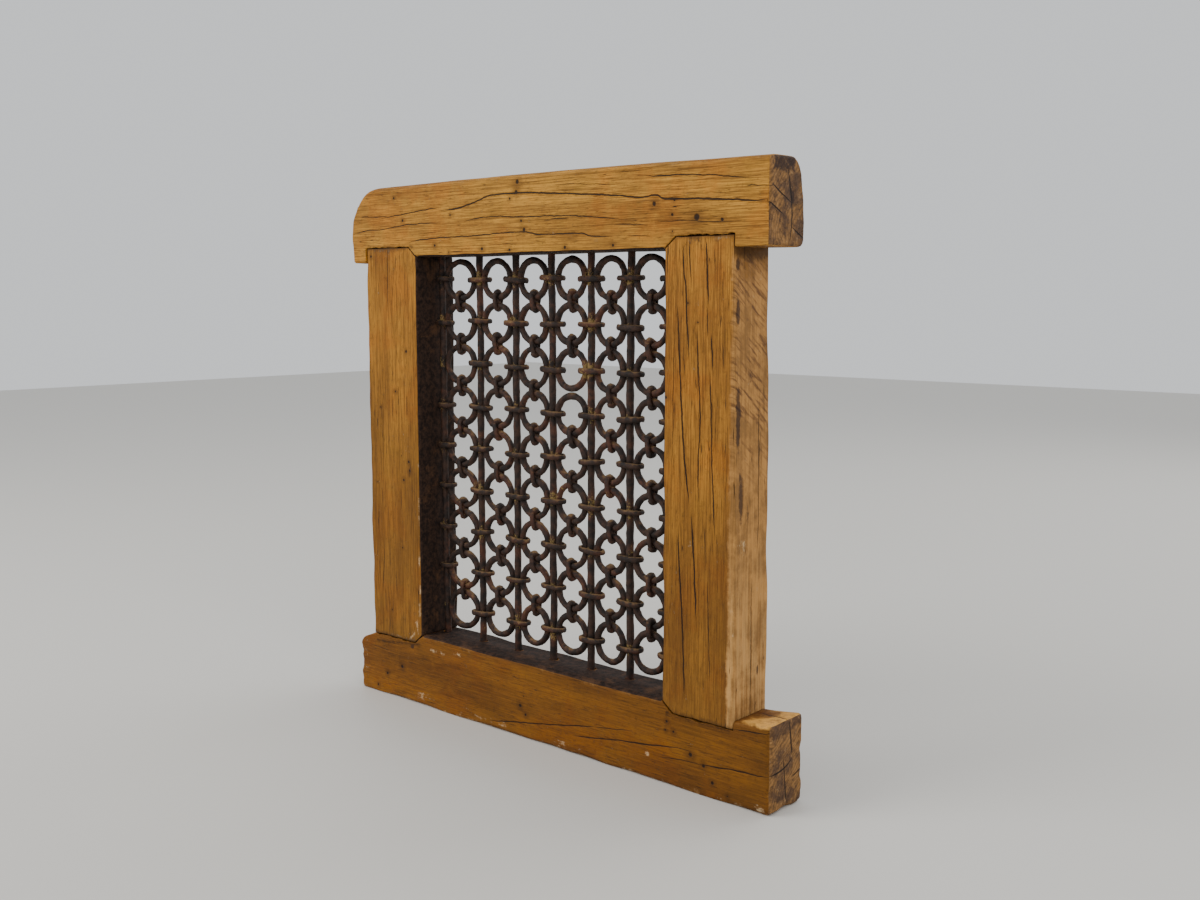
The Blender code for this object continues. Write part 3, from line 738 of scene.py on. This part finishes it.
left_cracks = [
    (1.0, [(484, -249.8), (520, -248.8), (560, -246.8)]),
    (0.8, [(536, -233.4), (552, -231.8)]),
    (0.6, [(532, -202.5), (548, -201.6)]),
    (0.7, [(476, -226.1), (508, -224.5)]),
    (0.7, [(352, -240.9), (363, -243.1), (382, -241.3)]),
    (1.0, [(286, -212.7), (302, -211.6)]),
    (0.8, [(246, -230.4), (269, -230.5)]),
    (0.8, [(246, -266), (265, -266.1)]),
    (0.9, [(138, -268.9), (163, -267.1), (189, -264.2)]),
    (0.5, [(140, -242.2), (161, -242.7)]),
]
stile_left, left_place = upright("stile_left_timber", -288.45, 94.0, 1, 0.0, 51, left_cracks)
stile_left.rub("scuff", "front", (102, 91, 22, 3.0, 1.0), (7, 79, 9, 3.5, 1.0), (24, 84.5, 12, 3.5, 1.0),
               (42, 90, 14, 3.0, 1.0), (66, 91.5, 18, 2.5, 1.0), (150, 92, 40, 2.0, 0.8),
               (223, 92, 6, 2.0, 1.0), (3, 48, 2.5, 50, 0.6), (482, 48, 2.5, 50, 0.6))
stile_left.rub("black_stain_and_shade", "front", (425.5, 22, 6, 4, 0.4), (310.5, 16, 6, 4, 0.4), (55.5, 7, 9, 3, 0.4),
               (7.5, 15, 3, 6, 0.4), (481, 44, 4.5, 60, 0.44))
left_wood = old_wood(
    "stile_left_wood", "ZXY", paint(174, 118, 38), paint(130, 84, 24), (-0.20, 0.07), 4.0, 0.76, left_cracks,
    [(-214.2, 303.4, 1.5), (-212.6, 292.8, 1.6), (-224.7, 280.2, 1.4), (-215.8, 438.3, 1.6),
     (-237.4, 388.7, 1.3), (-266.8, 367.9, 1.0), (-279.2, 553.3, 1.4), (-275.5, 273.2, 0.8),
     (-229.1, 195, 0.9), (-251.5, 112.8, 0.8)],
    shade=(0.56, 0.16, 0.46),
)
left_piece = stile_left.finish(left_place, left_wood)
set_in_window(left_piece, "timber", "stile_left")


# The right stile: more checked than the left, swollen a little on its outer side, which is rougher
# and pinker, pale and dry low down, and shows slanting saw marks high up.
right_cracks = [
    (1.7, [(494, 239.5), (510, 238), (536, 236.6), (561, 234.5)]),
    (1.4, [(442, 215.2), (467, 214), (481, 212.6), (514, 211), (527, 208.5), (561, 206.6)]),
    (0.9, [(512, 218), (534, 216.1), (561, 214.1)]),
    (0.9, [(467, 237.7), (481, 237.9), (493, 237.1)]),
    (1.2, [(434, 244.8), (452, 243.4), (468, 242.5)]),
    (0.7, [(437, 257.9), (458, 256.2)]),
    (1.2, [(301, 229), (340, 228), (380, 229.7), (419, 228.1), (452, 226), (472, 225.4)]),
    (1.4, [(270, 249), (300, 247.5), (347, 244.8), (384, 243.7), (416, 242.1), (433, 240.9)]),
    (1.5, [(296, 216.8), (315, 214.6), (347, 210.4), (378, 207.8), (418, 204.9), (458, 202.7),
           (497, 200.2)]),
    (1.6, [(180, 227.6), (220, 225), (255, 222.5), (290, 219.5)]),
    (1.3, [(96, 213), (150, 211), (200, 208), (240, 205), (276, 203.5)]),
    (0.9, [(120, 245), (170, 243), (224, 241)]),
    (0.6, [(240, 238), (262, 237), (280, 236)]),
    (0.6, [(330, 198), (400, 196), (470, 197)]),
]
stile_right, right_place = upright("stile_right_timber", 183.45, 85.0, -1, 5.3, 61, right_cracks)
stile_right.rub("scuff", "front", (110, 84, 70, 3.0, 0.5), (482.5, 66, 2.2, 16, 0.9),
                (481, 22, 2.2, 12, 0.6))
stile_right.rub("black_stain_and_shade", "front", (480, 36, 4.5, 50, 0.46), (471, 62, 16, 22, 0.26))
# Painted shadow: the top of the outer side, in the shadow under the head's right horn, is painted dark.
stile_right.rub("grime_and_shade", "top", (485, 30, 24, 90, 1.7))
stile_right.rub("black_stain_and_shade", "top", (457, 6, 8, 4, 1.0), (412, 6, 14, 4, 1.05), (306, 6, 38, 5, 1.0),
                (232, 11, 36, 6, 0.85), (212, 22, 32, 5, 0.65), (352, 26, 14, 12, 0.55),
                (52, 42.5, 5, 1.6, 1.6))
stile_right.rub("scuff", "top", (185, 12, 14, 7, 0.9))
right_wood = old_wood(
    "stile_right_wood", "ZXY", paint(180, 123, 42), paint(136, 88, 28), (0.30, 0.08), 6.0, 0.74,
    right_cracks, [(226.2, 479.2, 0.9), (186.7, 403.7, 1.6), (214, 498, 0.8)],
    shade=(0.46, 0.12, 0.54), side=(0.2660, paint(180, 129, 68), 0.05),
    more=[("top", 0.9, [(250, 9), (320, 11), (400, 10)]), ("top", 0.9, [(60, 1), (140, 0), (225, 1)])],
    top=0.262,
)
right_piece = stile_right.finish(right_place, right_wood)
set_in_window(right_piece, "timber", "stile_right")


# The iron lattice: seven bars, six columns of rings that hang between them, collars that bind each
# ring to the bars beside it and ties that bind it to the ring below. All is forged by hand, so no
# two are quite alike, and it is rusty brown with pale ochre dust where dust can lie.
def old_iron():
    finish = Finish("old_iron")
    here = finish.node("TexCoord", output=3)
    lumps = finish.noise(here, 120.0, 5.0, 0.6)
    grain = finish.noise(here, 560.0, 4.0, 0.62)
    patches = finish.noise(here, 30.0, 5.0, 0.62)
    color = finish.mix(finish.fade(lumps, 0.36, 0.64), paint(28, 19, 15), paint(60, 39, 28))
    color = finish.mix(finish.fade(patches, 0.50, 0.66) * 0.55, color, paint(92, 50, 32))
    color = finish.mix(finish.fade(grain, 0.56, 0.70) * 0.45, color, paint(21, 15, 14))
    crust = finish.mark("crust") * 0.42 + (grain - 0.5) * 1.2 + (patches - 0.5) * 1.6
    crust = finish.fade(crust, 0.34, 0.52)
    color = finish.mix(crust * 0.62, color, paint(156, 132, 74))
    facing = finish.node("SeparateXYZ", None, {0: finish.node("NewGeometry", output=1)}).socket.node
    upward = Signal(finish, facing.outputs["Z"])
    dust = finish.fade(upward * 0.45 + lumps * 0.9 + patches * 0.7 + finish.mark("dust") * 0.22, 1.06, 1.40)
    color = finish.mix(dust * 0.58, color, paint(132, 104, 66))
    rough = 0.60 + grain * 0.22 + dust * 0.12
    finish.cover(Base_Color=color, Roughness=rough, Metallic=0.25, Specular_IOR_Level=0.4)
    finish.cover(Normal=finish.bump(lumps * 0.8 + grain * 0.5, 0.0009, 0.7))
    return finish.material


iron = old_iron()
WIRE_RADIUS = 3.75 * MM
RING_RADIUS = 24.9 * MM
RING_PITCH = 50 * MM
row_places = [524 * MM - RING_PITCH * row for row in range(9)]
# Counted from 0: the column and row of the lost tie, and the bar and row of each lost collar.
LOST_TIE = (3, 2)
LOST_COLLARS = [(0, 2), (0, 8)]
smith = np.random.default_rng(5)


class Forging:
    """A mesh of round iron that grows from sweeps along paths."""

    def __init__(self, name):
        self.name, self.points, self.faces, self.dust, self.count = name, [], [], [], 0

    def sweep(self, path, radii, sides, closed=False, dust=0.0, frame_up=(0, 1, 0)):
        """Sweeps a section along a path. radii are in pairs, across frame_up and along it."""
        path, radii = np.asarray(path, float), np.asarray(radii, float)
        ahead = np.roll(path, -1, axis=0) - np.roll(path, 1, axis=0) if closed else np.gradient(path, axis=0)
        ahead /= np.linalg.norm(ahead, axis=1)[:, None]
        across = np.cross(np.array(frame_up, float), ahead)
        across /= np.linalg.norm(across, axis=1)[:, None]
        up = np.cross(ahead, across)
        angles = np.arange(sides) / sides * 2 * math.pi
        section = (across[:, None, :] * np.cos(angles)[None, :, None] * radii[:, None, :1]
                   + up[:, None, :] * np.sin(angles)[None, :, None] * radii[:, None, 1:2])
        self.points.append((path[:, None, :] + section).reshape(-1, 3))
        steps, first = len(path), self.count
        for i in range(steps if closed else steps - 1):
            j = (i + 1) % steps
            for k in range(sides):
                m = (k + 1) % sides
                self.faces.append((first + i * sides + k, first + j * sides + k,
                                   first + j * sides + m, first + i * sides + m))
        if not closed:
            self.faces.append([first + k for k in range(sides)])
            self.faces.append([first + (steps - 1) * sides + k for k in reversed(range(sides))])
        self.dust.append(np.full(steps * sides, dust))
        self.count += steps * sides

    def finish(self, *nodes):
        mesh = bpy.data.meshes.new(self.name)
        points = np.concatenate(self.points)
        dents = np.stack([ripple(points, (0.005,) * 3, i, 14) for i in (1, 2, 3)], axis=1)
        mesh.from_pydata((points + dents * 0.28 * MM).tolist(), [], self.faces)
        face_outwards(mesh)
        half = RING_PITCH / 2
        rows = np.abs((points[:, 2] - row_places[0] + half) % RING_PITCH - half)
        bars = np.abs(points[:, 0][:, None] - np.array(bar_places)[None, :]).min(axis=1)
        dust = np.concatenate(self.dust)
        crust = np.exp(-(rows / (11 * MM)) ** 2 - (bars / (8 * MM)) ** 2) * (1 - 1.6 * dust)
        piece = make_piece(self.name, mesh, {"dust": dust, "crust": crust}, iron)
        set_in_window(piece, "iron", *nodes)


def around(steps):
    """Angles once round, in even steps."""
    return np.arange(steps) / steps * 2 * math.pi


def squarish(turn, power):
    """A round as far out as 1 each way, with fuller corners than a circle's."""
    swing, rise = np.cos(turn), np.sin(turn)
    return np.sign(swing) * np.abs(swing) ** power, np.sign(rise) * np.abs(rise) ** power


def forge_ring(rings, middle, half_width, row_z):
    """Bends one ring of uneven wire."""
    turn = around(52)
    wobble = 0.012 * np.sin(2 * turn + smith.uniform(0, 6)) + 0.009 * np.sin(3 * turn + smith.uniform(0, 6))
    wobble += 1
    x = middle + smith.normal(0, 0.3) * MM + (half_width - WIRE_RADIUS) * np.cos(turn) * wobble
    z = row_z + (RING_RADIUS - WIRE_RADIUS) * np.sin(turn) * wobble
    y = LATTICE_Y + 0.6 * MM * np.sin(turn + smith.uniform(0, 6))
    swell = 0.07 * np.sin(2 * turn + smith.uniform(0, 6)) + 0.04 * np.sin(5 * turn + smith.uniform(0, 6))
    thick = WIRE_RADIUS * (1 + swell)
    rings.sweep(np.stack([x, y, z], axis=1), np.stack([thick, thick * 0.96], axis=1), 10, True)


def forge_tie(ties, middle, row_z):
    """Bends a strap round the foot of a ring and the top of the next, with a full core and two knobs."""
    meet = row_z - RING_PITCH / 2 + smith.normal(0, 0.5) * MM
    centre = middle + smith.normal(0, 0.9) * MM
    lean = smith.normal(1.4, 0.9) * MM
    turn = around(24)
    out, rise = squarish(turn, 0.75)
    strap_x = centre - lean * np.sin(turn) * np.where(np.cos(turn) > 0, 1, -1)
    strap = np.stack([strap_x, LATTICE_Y - 5.3 * MM * out, meet + 9.6 * MM * rise], axis=1)
    width = smith.uniform(3.0, 3.8) * MM
    ties.sweep(strap, np.full((24, 2), (1.9 * MM, width)), 8, True, 0.3, (1, 0, 0))
    level = meet + np.linspace(-8, 8, 5) * MM
    core_x = centre - lean * 0.8 * (level - meet) / (9 * MM)
    core = np.stack([core_x, np.full(5, LATTICE_Y), level], axis=1)
    ties.sweep(core, np.full((5, 2), (3.1 * MM, 3.6 * MM)), 8, False, 0.1)
    for side in (-1, 1):
        size = smith.uniform(4.4, 5.5) * MM
        knob = np.linspace(-1, 1, 9)
        body = np.sqrt(np.clip(1 - knob ** 2, 0.05, 1)) * size
        level = meet + side * 9.4 * MM + knob * size * 0.82
        path = np.stack([np.full(9, centre - side * lean * 0.4), np.full(9, LATTICE_Y), level], axis=1)
        ties.sweep(path, np.stack([body, body * 1.12], axis=1), 10, False, 0.4)


def forge_collar(collars, bar_x, low, high, row_z):
    """Bends a band round a bar and the rims beside it. It reaches low to the left and high to the right."""
    level = row_z + smith.normal(0, 0.9) * MM
    tilt, slip = smith.normal(0, 0.035), smith.normal(0, 0.4) * MM
    turn = around(40)
    out, rise = squarish(turn, 0.68)
    x = (high - low) / 2 + (high + low) / 2 * out
    y = LATTICE_Y + 7.3 * MM * rise * (0.80 + 0.20 * np.abs(np.sin(turn)))
    belly = (2.7 + 0.5 * np.abs(np.sin(turn))) * smith.uniform(0.9, 1.12) * MM
    path = np.stack([bar_x + x + slip * 0.5, y, level + x * tilt], axis=1)
    collars.sweep(path, np.stack([np.full(40, 1.9 * MM), belly], axis=1), 8, True, 0.5, (0, 0, 1))


for column, (left, right) in enumerate(zip(bar_places, bar_places[1:])):
    rings, ties = Forging(f"rings_{column + 1}"), Forging(f"ties_{column + 1}")
    half_width = (right - left) / 2 - BAR_RADIUS - 0.7 * MM
    middle = (left + right) / 2
    for row, row_z in enumerate(row_places):
        forge_ring(rings, middle, half_width, row_z)
        if row + 1 < len(row_places) and (column, row) != LOST_TIE:
            forge_tie(ties, middle, row_z)
    is_split = column == LOST_TIE[0]
    nodes = ["ring_chain_4_upper", "ring_chain_4_lower"] if is_split else [f"ring_chain_{column + 1}"]
    rings.finish(*nodes)
    ties.finish(*nodes)

for number, bar_x in enumerate(bar_places):
    rod, collars = Forging(f"bar_rod_{number + 1}"), Forging(f"collars_{number + 1}")
    height = np.linspace(75.2, 565.6, 96) * MM
    shift = ripple(height[:, None], (0.11,), 70 + number, 8) * 0.5 * MM
    back = ripple(height[:, None], (0.13,), 90 + number, 8) * 0.4 * MM
    if number == 0:
        shift = shift + np.interp(height, [0.09, 0.20, 0.35], [2.2, 0.8, 0]) * MM
    thick = BAR_RADIUS * (1 + 0.05 * ripple(height[:, None], (0.02,), 110 + number, 10))
    path = np.stack([bar_x + shift, LATTICE_Y + back, height], axis=1)
    rod.sweep(path, np.stack([thick, thick], axis=1), 10)
    low = 15.6 * MM if number > 0 else 5.2 * MM
    high = 15.6 * MM if number < 6 else 5.2 * MM
    for row, row_z in enumerate(row_places):
        if (number, row) not in LOST_COLLARS:
            forge_collar(collars, bar_x, low, high, row_z)
    rod.finish(f"bar_{number + 1}")
    collars.finish(f"bar_{number + 1}")
